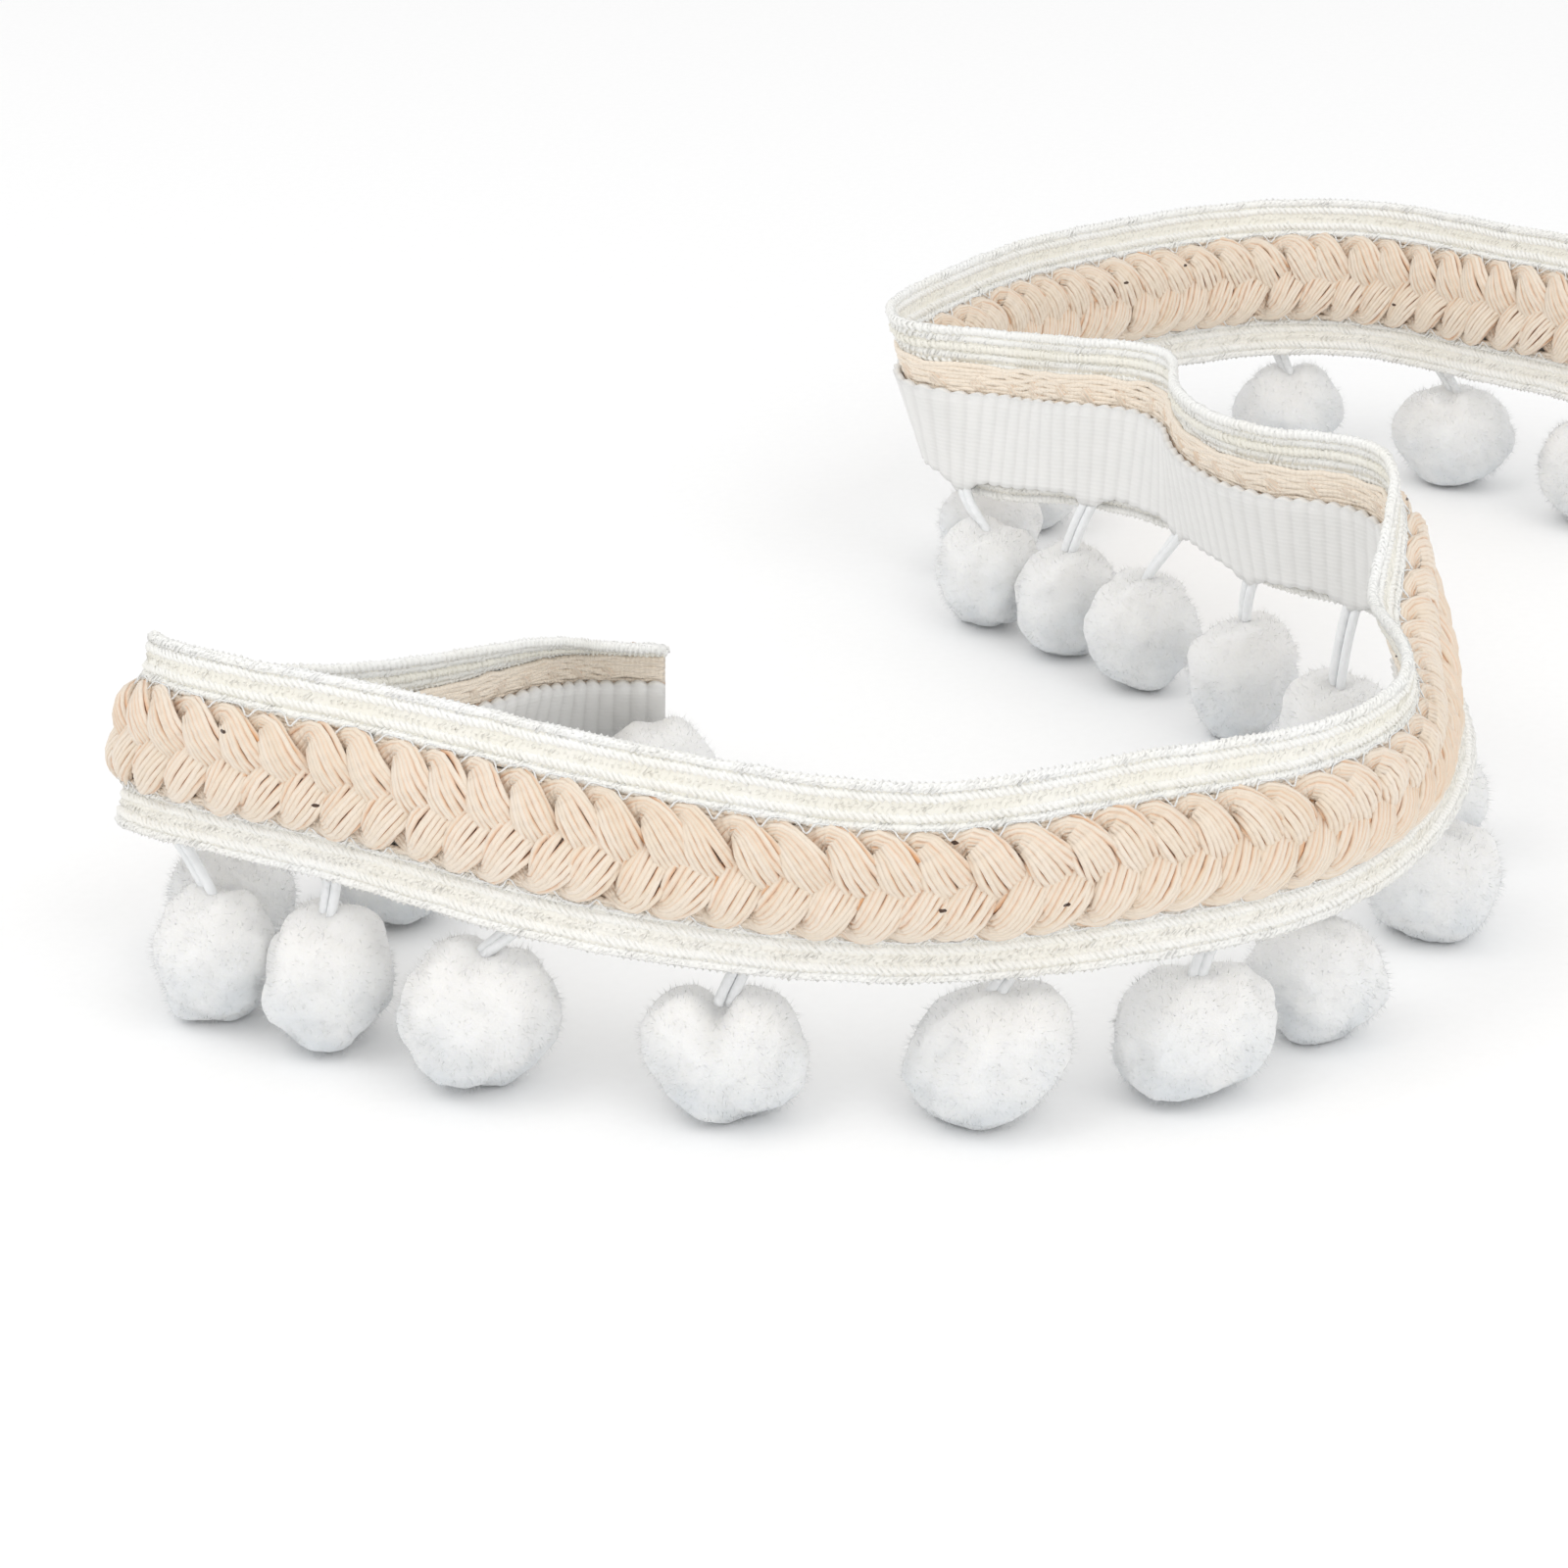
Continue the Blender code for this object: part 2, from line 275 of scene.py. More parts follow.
# In the dictionaries, sizes are in millimetres, and patches and tufts are counts to a millimetre
plait = {
    "middleRise": 10.25, "middleProud": 1.84,
    "repeat": 12.8,  # three stitches of each row
    "swing": 4.3, "weave": 0.9, "straighten": 0.06, "dome": 0.8,
    "halfWidth": 2.1, "halfThickness": 0.66, "pinch": 0.45,  # of one strand
    "yarns": 17, "yarnRadius": 0.345, "sections": 900, "twistsAlong": 800,
    "endRun": 3.5, "endProud": 0.45,  # where the cut ends are pressed flat
    # creviceShade is a painted shade, mixed in between the yarns and where a strand goes under the others
    "pale": "#ECDFCF", "warm": "#E3D1B9", "creviceShade": "#DBA06A", "lineShade": 1.5, "patches": 0.16,
    "seed": "#4A3426", "seedSpacing": 5.0, "seedSize": 0.035, "seedShare": 0.22,
}


def twistBump(tree, twistsAlong, height):
    # two plies twisted together: slanting furrows that follow the thread's own map
    ownMap = addNode(tree, "ShaderNodeUVMap").outputs["UV"]
    own = addNode(tree, "ShaderNodeSeparateXYZ", {"Vector": ownMap})
    along = addNode(
        tree, "ShaderNodeMath", {0: own.outputs["Y"], 1: twistsAlong * 2.0}, operation="MULTIPLY",
    )
    turned = addNode(tree, "ShaderNodeMath", {0: along.outputs[0], 1: own.outputs["X"]}, operation="ADD")
    angle = addNode(tree, "ShaderNodeMath", {0: turned.outputs[0], 1: fullTurn}, operation="MULTIPLY")
    furrow = addNode(tree, "ShaderNodeMath", {0: angle.outputs[0]}, operation="SINE")
    bump = addNode(
        tree, "ShaderNodeBump", {"Height": furrow.outputs[0], "Distance": height * mm, "Strength": 0.6},
    )
    return bump.outputs["Normal"]


def makeCotton(name, look):
    # Unbleached cotton, carded, spun and plied: matt and soft, with painted shade (a deeper colour)
    # between the yarns and under the strands, yarns that differ a little, and a few bits of seed coat
    # left in
    material, tree, shader = newMaterial(name, Roughness=0.85, Sheen_Weight=0.25, Sheen_Roughness=0.6)
    place = addNode(tree, "ShaderNodeAttribute", attribute_name="trimPlace").outputs["Vector"]
    depth = addNode(tree, "ShaderNodeAttribute", attribute_name="depth").outputs["Fac"]
    tone = addNode(tree, "ShaderNodeAttribute", attribute_name="tone").outputs["Fac"]
    cloudy = addNode(
        tree, "ShaderNodeTexNoise", {"Vector": place, "Scale": look["patches"] / mm, "Detail": 3.0},
    )
    mixed = addNode(tree, "ShaderNodeMath", {0: tone, 1: cloudy.outputs["Fac"]}, operation="MULTIPLY")
    pale = addNode(
        tree, "ShaderNodeMix",
        {"Factor": mixed.outputs[0], "A": linear(look["pale"]), "B": linear(look["warm"])},
        data_type="RGBA",
    )
    deep = addNode(
        # painted shade: the crevice colour, mixed in by the depth attribute
        tree, "ShaderNodeMix",
        {"Factor": depth, "A": pale.outputs["Result"], "B": linear(look["creviceShade"])},
        data_type="RGBA",
    )
    # bits of seed coat about 0.7 mm by 0.35 mm, in about one cell of 10 by 5 mm in five
    drawnOut = addNode(tree, "ShaderNodeVectorMath", {0: place, 1: (0.5, 1.0, 1.0)}, operation="MULTIPLY")
    cells = addNode(
        tree, "ShaderNodeTexVoronoi",
        {"Vector": drawnOut.outputs[0], "Scale": 1 / (look["seedSpacing"] * mm)},
        voronoi_dimensions="2D",
    )
    near = addNode(
        tree, "ShaderNodeMath", {0: cells.outputs["Distance"], 1: look["seedSize"]},
        operation="LESS_THAN",
    )
    kept = addNode(tree, "ShaderNodeSeparateColor", {"Color": cells.outputs["Color"]})
    chosen = addNode(
        tree, "ShaderNodeMath", {0: kept.outputs[0], 1: 1 - look["seedShare"]}, operation="GREATER_THAN",
    )
    speck = addNode(
        tree, "ShaderNodeMath", {0: near.outputs[0], 1: chosen.outputs[0]}, operation="MULTIPLY",
    )
    coloured = addNode(
        tree, "ShaderNodeMix",
        {"Factor": speck.outputs[0], "A": deep.outputs["Result"], "B": linear(look["seed"])},
        data_type="RGBA",
    )
    tree.links.new(coloured.outputs["Result"], shader.inputs["Base Color"])
    tree.links.new(twistBump(tree, look["twistsAlong"], 0.06), shader.inputs["Normal"])
    return material


def ellipseStations(wide, thick):
    # angles that share the ellipse's outline equally
    angle = np.linspace(0, fullTurn, 2001)
    steps = np.hypot(np.diff(wide * np.cos(angle)), np.diff(thick * np.sin(angle)))
    outline = np.concatenate([[0.0], np.cumsum(steps)])
    return lambda share: np.interp(np.mod(share, 1.0) * outline[-1], outline, angle)


def makePlaitStrand(strand, material):
    name = f"plait_strand_{strand + 1}"
    threads = addThreads(
        name, trimLength, plait["yarns"], yarnSpacing, sides=5, sections=plait["sections"],
    )
    stations = ellipseStations(plait["halfWidth"], plait["halfThickness"])

    def phase(run):
        drift = 0.3 * wander(run, strand, 31.0, 5)
        return fullTurn * run / plait["repeat"] + fullTurn * strand / 3 + drift

    def middle(run):
        angle = phase(run)
        swing = plait["swing"] * (1 + 0.05 * wander(run, strand, 17.0, 9))
        bow = (np.sin(angle) - plait["straighten"] * np.sin(3 * angle)) / (1 + plait["straighten"])
        domed = plait["dome"] * np.sin(angle) ** 4
        proud = plait["middleProud"] - plait["weave"] * np.sin(2 * angle) - domed
        return np.stack([run, plait["middleRise"] + swing * bow, proud], axis=1)

    def section(run, number):
        # the strand's half width and half thickness, and where each yarn lies round it
        edge = np.sin(phase(run)) ** 4
        swell = 1 + 0.1 * wander(run, strand, 9.0, 3)
        wide = plait["halfWidth"] * (1 - plait["pinch"] * edge) * swell
        thick = plait["halfThickness"] * (1 + 0.2 * edge)
        drift = 0.013 * wander(run, number, 11.0, strand) + 0.01 * wander(run, number, 4.3, strand + 7)
        return wide, thick, stations(number / plait["yarns"] + drift)

    def path(run, number):
        centre = middle(run)
        way = unit(middle(run + 0.05) - middle(run - 0.05))
        side = unit(np.cross(upright, way))
        out = np.cross(way, side)
        wide, thick, angle = section(run, number)
        loose = 1 + 0.08 * wander(run, number, 6.0, strand + 20)
        sideways = wide * loose * np.cos(angle)
        outwards = thick * loose * np.sin(angle)
        return centre + side * sideways[:, None] + out * outwards[:, None]

    points = readPoints(threads) / mm
    run, number = points[:, 0], np.rint(points[:, 1] / yarnSpacing)
    turn = np.arctan2(points[:, 2], points[:, 1] - number * yarnSpacing)
    wide, thick, angle = section(run, number)
    outward = unit(np.stack([np.cos(angle) / wide, np.sin(angle) / thick], axis=1))
    facing = outward[:, 0] * np.cos(turn) + outward[:, 1] * np.sin(turn)
    bendThreads(threads, yarnSpacing, path, steady(upright), plait["yarnRadius"])
    # painted shade: a deeper colour between the yarns, and where a strand goes under the others
    between = np.clip((0.5 - facing) * plait["lineShade"], 0, 0.9)
    edgeDrop = plait["dome"] * np.sin(phase(run)) ** 4
    proudOf = readPoints(threads)[:, 2] / mm - plait["middleProud"] + edgeDrop
    under = np.clip((0.5 - proudOf) / 1.2, 0, 1) ** 1.3
    back = np.clip((-proudOf - 0.9) / 0.6, 0, 1)  # the back is as pale as the face
    edgeShare = 0.75 * np.sin(phase(run)) ** 2
    fromEnd = np.clip(np.minimum(run, trimLength - run) / plait["endRun"], 0, 1)
    paintedShade = np.maximum(between, under * (1 - back) * (0.9 - edgeShare))
    keepAttribute(threads, "depth", paintedShade * fromEnd)
    keepAttribute(threads, "tone", 0.5 + 0.5 * wander(run, number, 60.0, strand + 3))
    # the ends are cut straight, and pressed flat where they are sewn down
    full = fromEnd**2 * (3 - 2 * fromEnd)
    endProud = plait["endProud"] * mm
    points = readPoints(threads)
    points[:, 0] = np.clip(points[:, 0], 0, trimLength * mm)
    points[:, 2] = endProud + (points[:, 2] - endProud) * (0.3 + 0.7 * full)
    writePoints(threads, points)
    layAlongTrim(threads)
    finishPiece(threads, material, ["cotton_plait"] if strand == 0 else [])


gimps = {
    # rows of wound cord: rise, proud, radius and how much of the warmer colour
    "upper": {
        "rows": [
            (19.9, 0.66, 0.46, 0.0), (18.98, 0.72, 0.46, 0.05), (18.0, 0.5, 0.46, 0.6),
            (17.0, 0.66, 0.46, 0.15), (15.95, 0.8, 0.48, 0.1),
        ],
        "pale": "#F6F6F4", "warm": "#F2EFE4",
    },
    "lower": {
        "rows": [
            (0.62, 0.66, 0.46, 0.1), (1.6, 0.72, 0.46, 0.2), (2.6, 0.6, 0.46, 0.6),
            (3.58, 0.68, 0.46, 0.3), (4.5, 0.72, 0.42, 0.3),
        ],
        "pale": "#F7F7F5", "warm": "#F4F1E8",
    },
    "wrapPitch": 0.66, "wrapRadius": 0.22, "wrapSteps": 5, "slant": 0.75,
    "bandFront": 0.95, "bandThickness": 0.54, "bandWarmth": 0.6,
    "roughness": 0.3, "patches": 0.11,
    "filament": 0.2,  # real ones are about 0.05, and are drawn coarser so that they show
}


def makeRayon(name, look):
    # Rayon filament wound over cords: silky and bright, and each filament catches the light
    material, tree, shader = newMaterial(
        name, Roughness=gimps["roughness"], IOR=1.53, Sheen_Weight=0.3, Sheen_Roughness=0.3,
    )
    place = addNode(tree, "ShaderNodeAttribute", attribute_name="trimPlace").outputs["Vector"]
    cloudy = addNode(
        tree, "ShaderNodeTexNoise", {"Vector": place, "Scale": gimps["patches"] / mm, "Detail": 4.0},
    )
    tone = addNode(tree, "ShaderNodeAttribute", attribute_name="tone").outputs["Fac"]
    shifted = addNode(tree, "ShaderNodeMath", {0: cloudy.outputs["Fac"], 1: tone}, operation="ADD")
    band = addNode(
        tree, "ShaderNodeMapRange", {"Value": shifted.outputs[0], "From Min": 0.35, "From Max": 1.2},
    )
    colour = addNode(
        tree, "ShaderNodeMix",
        {"Factor": band.outputs["Result"], "A": linear(look["pale"]), "B": linear(look["warm"])},
        data_type="RGBA",
    )
    tree.links.new(colour.outputs["Result"], shader.inputs["Base Color"])
    filament = addNode(
        tree, "ShaderNodeTexNoise",
        {"Vector": place, "Scale": 1 / (gimps["filament"] * mm), "Detail": 2.0},
    )
    bump = addNode(
        tree, "ShaderNodeBump",
        {"Height": filament.outputs["Fac"], "Distance": 0.06 * mm, "Strength": 0.4},
    )
    tree.links.new(bump.outputs["Normal"], shader.inputs["Normal"])
    return material


def makeGimp(place, material):
    look = gimps[place]
    pieces = []
    for number, (rise, proud, radius, warmth) in enumerate(look["rows"]):
        hand = 1 if number % 2 else -1
        key = number + 10 * (place == "upper")

        def rowMiddle(run, _):
            sway = 0.07 * wander(run, key, 13.0, 1)
            swell = 0.07 * wander(run, key, 5.0, 2)
            return np.stack([run, rise + sway, proud + swell], axis=1)

        def around(run, _):
            angle = hand * fullTurn * run / gimps["wrapPitch"] + 0.7 * wander(run, key, 6.0, 4)
            return np.stack([0 * run, np.cos(angle), np.sin(angle)], axis=1)

        def winding(run, _):
            uneven = radius + 0.05 * wander(run, key, 1.7, 6)
            slanted = around(run, _) * uneven[:, None]
            slanted[:, 0] = -hand * gimps["slant"] * slanted[:, 1]
            return rowMiddle(run, _) + slanted

        cord = addThreads("row", trimLength, 1, threadSpacing, sides=6, sections=220)
        bendThreads(cord, threadSpacing, rowMiddle, steady(upright), radius + 0.03)
        turns = trimLength / gimps["wrapPitch"]
        wrapSections = round(turns * gimps["wrapSteps"])
        wrap = addThreads("wrap", trimLength, 1, threadSpacing, sides=4, sections=wrapSections)
        bendThreads(wrap, threadSpacing, winding, around, gimps["wrapRadius"])
        for part in (cord, wrap):
            keepAttribute(part, "tone", np.full(len(part.data.vertices), warmth))
            pieces.append(part)
    # the ground that the rows are knitted to, so that no light comes through between them
    rises = [row[0] for row in look["rows"]]
    bpy.ops.object.select_all(action="DESELECT")
    bpy.ops.mesh.primitive_grid_add(
        x_subdivisions=300, y_subdivisions=4, size=1,
        location=(trimLength * mm / 2, (min(rises) + max(rises)) / 2 * mm, gimps["bandFront"] * mm),
    )
    ground = bpy.context.object
    ground.scale = (trimLength * mm, (max(rises) - min(rises)) * mm, 1)
    bpy.ops.object.transform_apply(location=True, rotation=True, scale=True)
    applied(ground, "SOLIDIFY", thickness=gimps["bandThickness"] * mm, offset=-1)
    keepAttribute(ground, "tone", np.full(len(ground.data.vertices), gimps["bandWarmth"]))
    piece = joined(pieces + [ground], f"{place}_gimp_rows")
    layAlongTrim(piece)
    finishPiece(piece, material, [f"gimp_{place}"])


# Where each cord is sewn and where its pompom stands along the hem, how far out the pompom stands,
# and its size along the hem, across it and upwards
pompoms = [
    (3.0, 1.5, 10.5, 13.2, 12.4, 13.2), (21.5, 25.0, 9.8, 12.8, 12.6, 13.0),
    (41.0, 43.0, 9.6, 13.2, 12.6, 13.0), (60.0, 60.0, 7.0, 13.0, 12.6, 13.0),
    (79.0, 84.5, 1.5, 12.0, 13.4, 14.2), (98.0, 97.2, 0.6, 12.2, 14.0, 15.0),
    (119.0, 114.0, 0.6, 16.0, 14.6, 15.2), (140.5, 138.4, 0.8, 15.4, 14.4, 13.4),
    (166.0, 163.1, 0.6, 14.6, 14.8, 13.8), (186.0, 183.5, 0.6, 15.6, 14.0, 12.8),
    (205.0, 200.8, 2.2, 13.2, 13.4, 13.0), (226.0, 228.0, 1.6, 14.2, 14.0, 13.2),
    (246.5, 248.0, 1.8, 13.4, 13.6, 13.8), (266.0, 267.0, 1.8, 13.4, 13.6, 14.2),
    (280.0, 284.8, -1.5, 11.4, 12.6, 15.2), (296.0, 302.0, 2.0, 12.2, 13.4, 14.8),
    (312.0, 315.2, 0.8, 12.0, 13.6, 14.2), (332.0, 327.6, 0.8, 12.0, 13.4, 13.6),
    (350.0, 348.0, -6.0, 12.6, 12.6, 13.0), (370.0, 366.0, -5.0, 13.4, 13.2, 12.6),
    (391.0, 392.0, 0.6, 14.2, 13.8, 12.0), (412.0, 414.0, 0.8, 14.0, 13.8, 12.2),
    (433.5, 437.0, 2.0, 15.0, 14.4, 13.4), (455.0, 458.4, 2.6, 14.6, 14.2, 14.4),
]

tape = {
    "rise": 1.0, "width": 11.6, "front": -0.62, "thickness": 0.7,
    "ribPitch": 1.95, "ribHeight": 0.14, "loopPitch": 1.6, "scallop": 0.45, "footScallop": 0.25,
    "edgeLift": 1.3, "loopWidth": 2.2,  # how the lower edge rises between the cords
    "sway": 0.12, "stepsPerRib": 6, "rows": 10,
    # valleyShade is a painted shade for the hollows between the ribs
    "pale": "#EFEEEC", "grey": "#E5E5E3", "valleyShade": "#DDDCDA", "patches": 0.3,
    "weftPitch": 0.5, "weftShare": 0.12,
}


def makeTapeCotton(look):
    # Bleached cotton tape, plain woven: matt white, with weft yarns about 0.5 mm apart across its ribs
    material, tree, shader = newMaterial(
        "bleached woven cotton tape", Roughness=0.9, Sheen_Weight=0.2, Sheen_Roughness=0.5,
    )
    place = addNode(tree, "ShaderNodeAttribute", attribute_name="trimPlace").outputs["Vector"]
    split = addNode(tree, "ShaderNodeSeparateXYZ", {"Vector": place})
    cloudy = addNode(
        tree, "ShaderNodeTexNoise", {"Vector": place, "Scale": look["patches"] / mm, "Detail": 4.0},
    )
    colour = addNode(
        tree, "ShaderNodeMix",
        {"Factor": cloudy.outputs["Fac"], "A": linear(look["pale"]), "B": linear(look["grey"])},
        data_type="RGBA",
    )
    # painted shade: a darker colour in the valleys between the ribs
    valleyShade = addNode(tree, "ShaderNodeAttribute", attribute_name="valleyShade").outputs["Fac"]
    ribbed = addNode(
        tree, "ShaderNodeMix",
        {"Factor": valleyShade, "A": colour.outputs["Result"], "B": linear(look["valleyShade"])},
        data_type="RGBA",
    )
    tree.links.new(ribbed.outputs["Result"], shader.inputs["Base Color"])
    angle = addNode(
        tree, "ShaderNodeMath", {0: split.outputs["Y"], 1: fullTurn / (look["weftPitch"] * mm)},
        operation="MULTIPLY",
    )
    weft = addNode(tree, "ShaderNodeMath", {0: angle.outputs[0]}, operation="SINE")
    woven = addNode(
        tree, "ShaderNodeMath", {0: weft.outputs[0], 1: look["weftShare"]}, operation="MULTIPLY",
    )
    rough = addNode(
        tree, "ShaderNodeMath", {0: woven.outputs[0], 1: cloudy.outputs["Fac"]}, operation="ADD",
    )
    bump = addNode(
        tree, "ShaderNodeBump", {"Height": rough.outputs[0], "Distance": 0.12 * mm, "Strength": 0.7},
    )
    tree.links.new(bump.outputs["Normal"], shader.inputs["Normal"])
    return material


def makeTape(material):
    ribs = round(trimLength / tape["ribPitch"])
    bpy.ops.object.select_all(action="DESELECT")
    bpy.ops.mesh.primitive_grid_add(
        x_subdivisions=ribs * tape["stepsPerRib"], y_subdivisions=tape["rows"], size=1,
        location=(trimLength * mm / 2, (tape["rise"] + tape["width"] / 2) * mm, tape["front"] * mm),
    )
    sheet = bpy.context.object
    sheet.name = "tape_weave"
    sheet.scale = (trimLength * mm, tape["width"] * mm, 1)
    bpy.ops.object.transform_apply(location=True, rotation=True, scale=True)
    applied(sheet, "SOLIDIFY", thickness=tape["thickness"] * mm, offset=-1)
    points = readPoints(sheet) / mm
    share = (points[:, 1] - tape["rise"]) / tape["width"]
    rib = np.abs(np.sin(math.pi * points[:, 0] / tape["ribPitch"]))
    points[:, 1] += tape["scallop"] * rib * np.clip((share - 0.9) * 10, 0, 1)
    # the lower edge comes down to the hem only at the pompoms' cords
    sewn = np.array([row[0] for row in pompoms])
    apart = np.abs(points[:, :1] - sewn).min(axis=1)
    drawnUp = 1 - np.exp(-((apart / tape["loopWidth"]) ** 2))
    lift = tape["edgeLift"] * drawnUp - tape["footScallop"] * rib
    points[:, 1] += lift * np.clip(1 - 5 * share, 0, 1)
    # ribs stand out of the back, each with small loops that are half a pitch off its neighbours'
    behind = points[:, 2] < tape["front"] - tape["thickness"] / 2
    offset = math.pi * np.floor(points[:, 0] / tape["ribPitch"])
    loops = 0.5 + 0.5 * np.cos(fullTurn * points[:, 1] / tape["loopPitch"] + offset)
    points[behind, 2] -= (tape["ribHeight"] * rib * (0.75 + 0.25 * loops))[behind]
    points[:, 1] += tape["sway"] * wander(points[:, 0], 0, 14.0, 8)
    writePoints(sheet, points * mm)
    # painted shade, deepest in the valleys between the ribs and varying with the loops
    keepAttribute(sheet, "valleyShade", (1 - rib) ** 2 * (0.7 + 0.3 * loops))
    layAlongTrim(sheet)
    finishPiece(sheet, material, ["pompom_tape"])
    return sheet


# The thread that binds the plait to its gimps
sewing = {
    # seams: rise, which way the stitches reach, proud, and the share of a pitch they are moved along
    "seams": [(16.0, -1, 1.35, 0.5), (4.55, 1, 1.45, 0.0)],
    "threadRadius": 0.1, "reach": 0.95, "pitch": plait["repeat"] / 3, "sections": 1700,
    "pale": "#FBFBF8", "cool": "#E9EBEC", "patches": 0.5, "twistsAlong": 900,
}


def makeCordCotton(name, look):
    # Bleached cotton cord of two plies: matt white with slanting furrows
    material, tree, shader = newMaterial(
        name, Roughness=0.85, Sheen_Weight=0.2, Subsurface_Weight=0.2, Subsurface_Radius=(1.0, 1.0, 1.0),
        Subsurface_Scale=1.0 * mm,
    )
    place = addNode(tree, "ShaderNodeTexCoord").outputs["Object"]
    cloudy = addNode(tree, "ShaderNodeTexNoise", {"Vector": place, "Scale": look["patches"] / mm})
    mixed = addNode(
        tree, "ShaderNodeMix",
        {"Factor": cloudy.outputs["Fac"], "A": linear(look["pale"]), "B": linear(look["cool"])},
        data_type="RGBA",
    )
    tree.links.new(mixed.outputs["Result"], shader.inputs["Base Color"])
    tree.links.new(twistBump(tree, look["twistsAlong"], 0.08), shader.inputs["Normal"])
    return material


def makeStitches(material):
    pieces = []
    for start, direction, proud, shift in sewing["seams"]:

        def path(run, number):
            cycle = run / sewing["pitch"] - 0.75 + shift
            jump = (0.5 + 0.5 * np.cos(fullTurn * cycle)) ** 6
            rise = start + direction * sewing["reach"] * jump + 0.1 * wander(run, number, 5.0, 3)
            return np.stack([run, rise, proud + 0.5 * jump], axis=1)

        thread = addThreads(
            "thread", trimLength, 1, threadSpacing, sides=4, sections=sewing["sections"],
        )
        bendThreads(thread, threadSpacing, path, steady(upright), sewing["threadRadius"])
        pieces.append(thread)
    stitches = joined(pieces, "binding_stitches")
    layAlongTrim(stitches)
    finishPiece(stitches, material)


# Two yarns along the plait's lower edge and four along its upper one
edging = {
    "yarns": 6, "lowerYarns": 2, "yarnRadius": 0.26, "sections": 700,
    "lowerRise": 5.05, "lowerStep": 0.35, "lowerProud": 1.05, "lowerProudStep": 0.25,
    "upperRise": 14.3, "upperStep": 0.44, "upperProud": 0.95,
}


def makeEdgeYarns(cotton):
    def path(run, number):
        lower = number < edging["lowerYarns"]
        lowerRise = edging["lowerRise"] + edging["lowerStep"] * number
        upperRise = edging["upperRise"] + edging["upperStep"] * (number - edging["lowerYarns"])
        rise = np.where(lower, lowerRise, upperRise) + 0.16 * wander(run, number, 8.0, 4)
        lowerProud = edging["lowerProud"] + edging["lowerProudStep"] * number
        proud = np.where(lower, lowerProud, edging["upperProud"]) + 0.15 * wander(run, number, 3.7, 5)
        return np.stack([run, rise, proud], axis=1)

    edge = addThreads(
        "plait_edge_yarns", trimLength, edging["yarns"], threadSpacing, sides=5,
        sections=edging["sections"],
    )
    bendThreads(edge, threadSpacing, path, steady(upright), edging["yarnRadius"])
    keepAttribute(edge, "depth", np.zeros(len(edge.data.vertices)))
    keepAttribute(edge, "tone", np.full(len(edge.data.vertices), 0.2))
    layAlongTrim(edge)
    finishPiece(edge, cotton)


# Natural yarns laid lengthwise behind the plait's upper part, which show above the tape
backing = {
    "rise": 11.7, "step": 0.46, "proud": -0.02, "yarns": 10, "yarnRadius": 0.33, "sections": 320,
    # pale and warm are lighter than the plait's yarn: painted light, to brighten the backing in the shade
    # between the plait's leaves and the upper gimp
    "shadedYarns": 2, "shade": 0.35, "pale": "#F8ECDC", "warm": "#F1DFC9",
}


def makeBacking(cotton):
    def path(run, number):
        rise = backing["rise"] + backing["step"] * number + 0.22 * wander(run, number, 9.0, 2)
        return np.stack([run, rise, backing["proud"] + 0.12 * wander(run, number, 4.0, 6)], axis=1)

    yarns = addThreads(
        "backing_yarns", trimLength, backing["yarns"], yarnSpacing, sides=5, sections=backing["sections"],
    )
    points = readPoints(yarns) / mm
    number = np.rint(points[:, 1] / yarnSpacing)
    bendThreads(yarns, yarnSpacing, path, steady(upright), backing["yarnRadius"])
    # the lowest ones lie in the tape's shade
    keepAttribute(yarns, "depth", np.where(number < backing["shadedYarns"], backing["shade"], 0.0))
    keepAttribute(yarns, "tone", 0.25 + 0.25 * wander(points[:, 0], number, 30.0, 1))
    layAlongTrim(yarns)
    finishPiece(yarns, cotton)


pile = {
    "flat": 0.5,  # pressed flat at the foot
    "lump": 3.2, "lumpSize": 6.0, "tuft": 0.42, "tuftSize": 1.3,
    "fibres": 2.6,  # to a square millimetre
    "fibreLength": 0.9, "fibreRadius": 0.03, "tieDepth": 2.2,
    # cool is a painted shade, mixed in towards the foot below height
    "pale": "#EFEEEC", "cool": "#DBDFE2", "height": 14.0, "tufts": 1.4, "patches": 0.25,
    # how much some pompoms are pushed over along the hem, and how deep the cleft under the cord is
    "shapes": {7: (0.1, 0.8), 8: (-0.12, 2.6), 9: (0.32, 0.6), 10: (0.25, 0.7), 15: (-0.1, 0.8)},
    "otherShapes": (0.0, 0.9),
}


